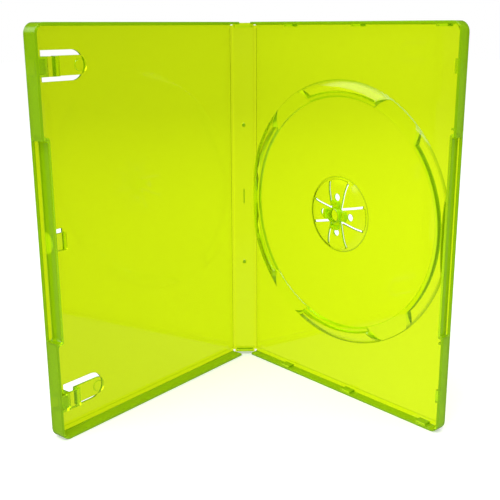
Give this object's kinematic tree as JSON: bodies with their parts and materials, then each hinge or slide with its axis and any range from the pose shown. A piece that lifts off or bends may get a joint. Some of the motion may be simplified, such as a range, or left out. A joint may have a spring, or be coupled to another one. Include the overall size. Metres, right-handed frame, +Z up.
{
  "type": "game disc case",
  "caption": "Slim plastic case for a game disc, standing open like a book: a clipped front cover and a tray with a push-button hub, joined to a narrow spine by thin bending webs.",
  "frame": {"origin": "centre of the bounding box on the surface the case stands on", "axes": "+Z up along the spine, +X to the tray's side, -Y out of the opening towards the viewer"},
  "size_m": [0.1868, 0.1083, 0.19],
  "materials": {
    "lime_plastic": "glossy"
  },
  "bodies": {
    "spine_body": {"spine": "lime_plastic", "front_hinge_web": "lime_plastic", "tray_hinge_web": "lime_plastic"},
    "front_body": {"front_cover": "lime_plastic"},
    "tray_body": {"disc_tray": "lime_plastic", "hub_arms": "lime_plastic"},
    "button_body": {"hub_button": "lime_plastic"}
  },
  "joints": [
    {"name": "front_hinge", "type": "hinge", "parent": "spine_body", "child": "front_body", "pos_m": [-0.00675, 0.05393, 0.095], "axis": [0, 0, 1], "range_deg": [-50, 40], "deforming": ["front_hinge_web"]},
    {"name": "tray_hinge", "type": "hinge", "parent": "spine_body", "child": "tray_body", "pos_m": [0.00675, 0.05393, 0.095], "axis": [0, 0, -1], "range_deg": [-50, 40], "deforming": ["tray_hinge_web"]},
    {"name": "hub_press", "type": "slide", "parent": "tray_body", "child": "button_body", "axis": [0.766, 0.6428, 0], "range_m": [0, 0.0012], "stiffness_N_per_m": 5000, "deforming": ["hub_arms"]}
  ]
}
